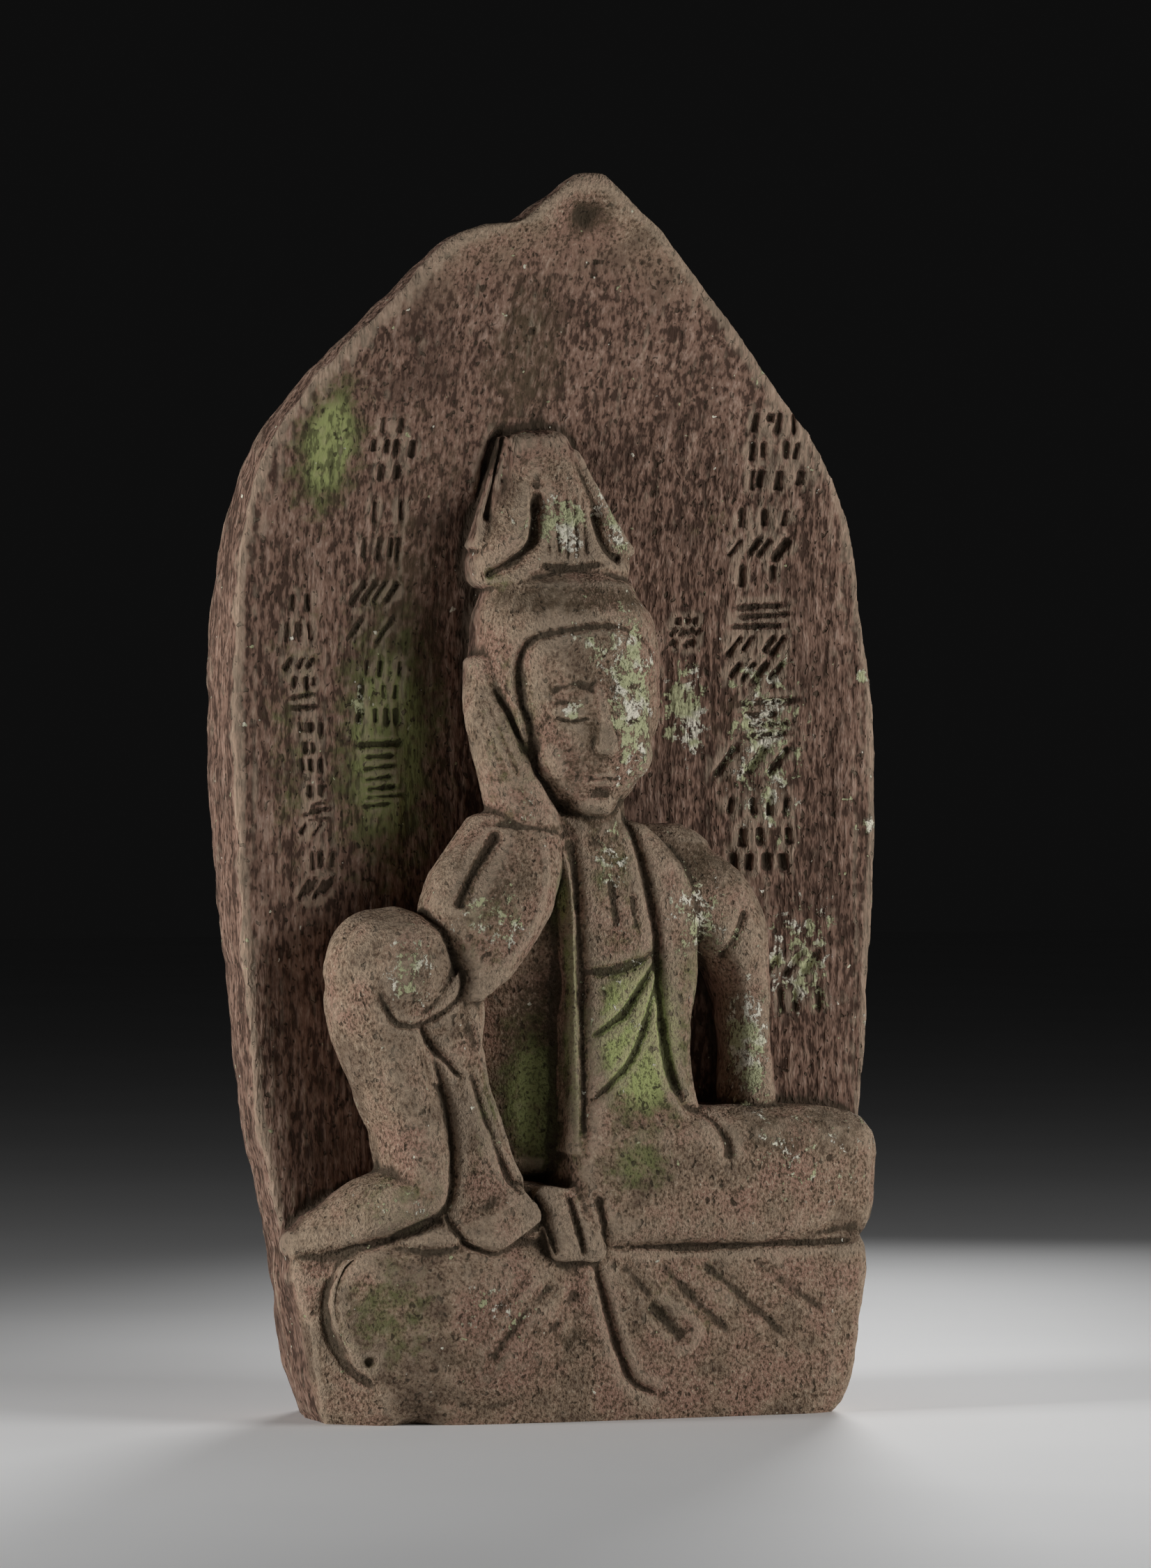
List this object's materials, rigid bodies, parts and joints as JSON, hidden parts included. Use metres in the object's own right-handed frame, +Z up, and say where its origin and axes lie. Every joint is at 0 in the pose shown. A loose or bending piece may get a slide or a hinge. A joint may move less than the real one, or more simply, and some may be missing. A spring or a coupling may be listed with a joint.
{
  "type": "carved stone bodhisattva stele",
  "caption": "Boat-shaped stone stele on its own low base, with a bodhisattva seated in royal ease in high relief; it stands by its own weight as a votive or garden stone.",
  "frame": {"origin": "on the flat underside, below the rim plane of the slab and near the middle of its width", "axes": "+Z up from the underside to the pointed top, +X to the viewer's right as the figure is seen from the front, the figure faces -Y"},
  "size_m": [0.3991, 0.2068, 0.7209],
  "materials": {
    "weathered_stone": "chiselled and weathered, dull, with algae and lichen"
  },
  "bodies": {
    "root": {"statue": "weathered_stone"}
  },
  "joints": []
}
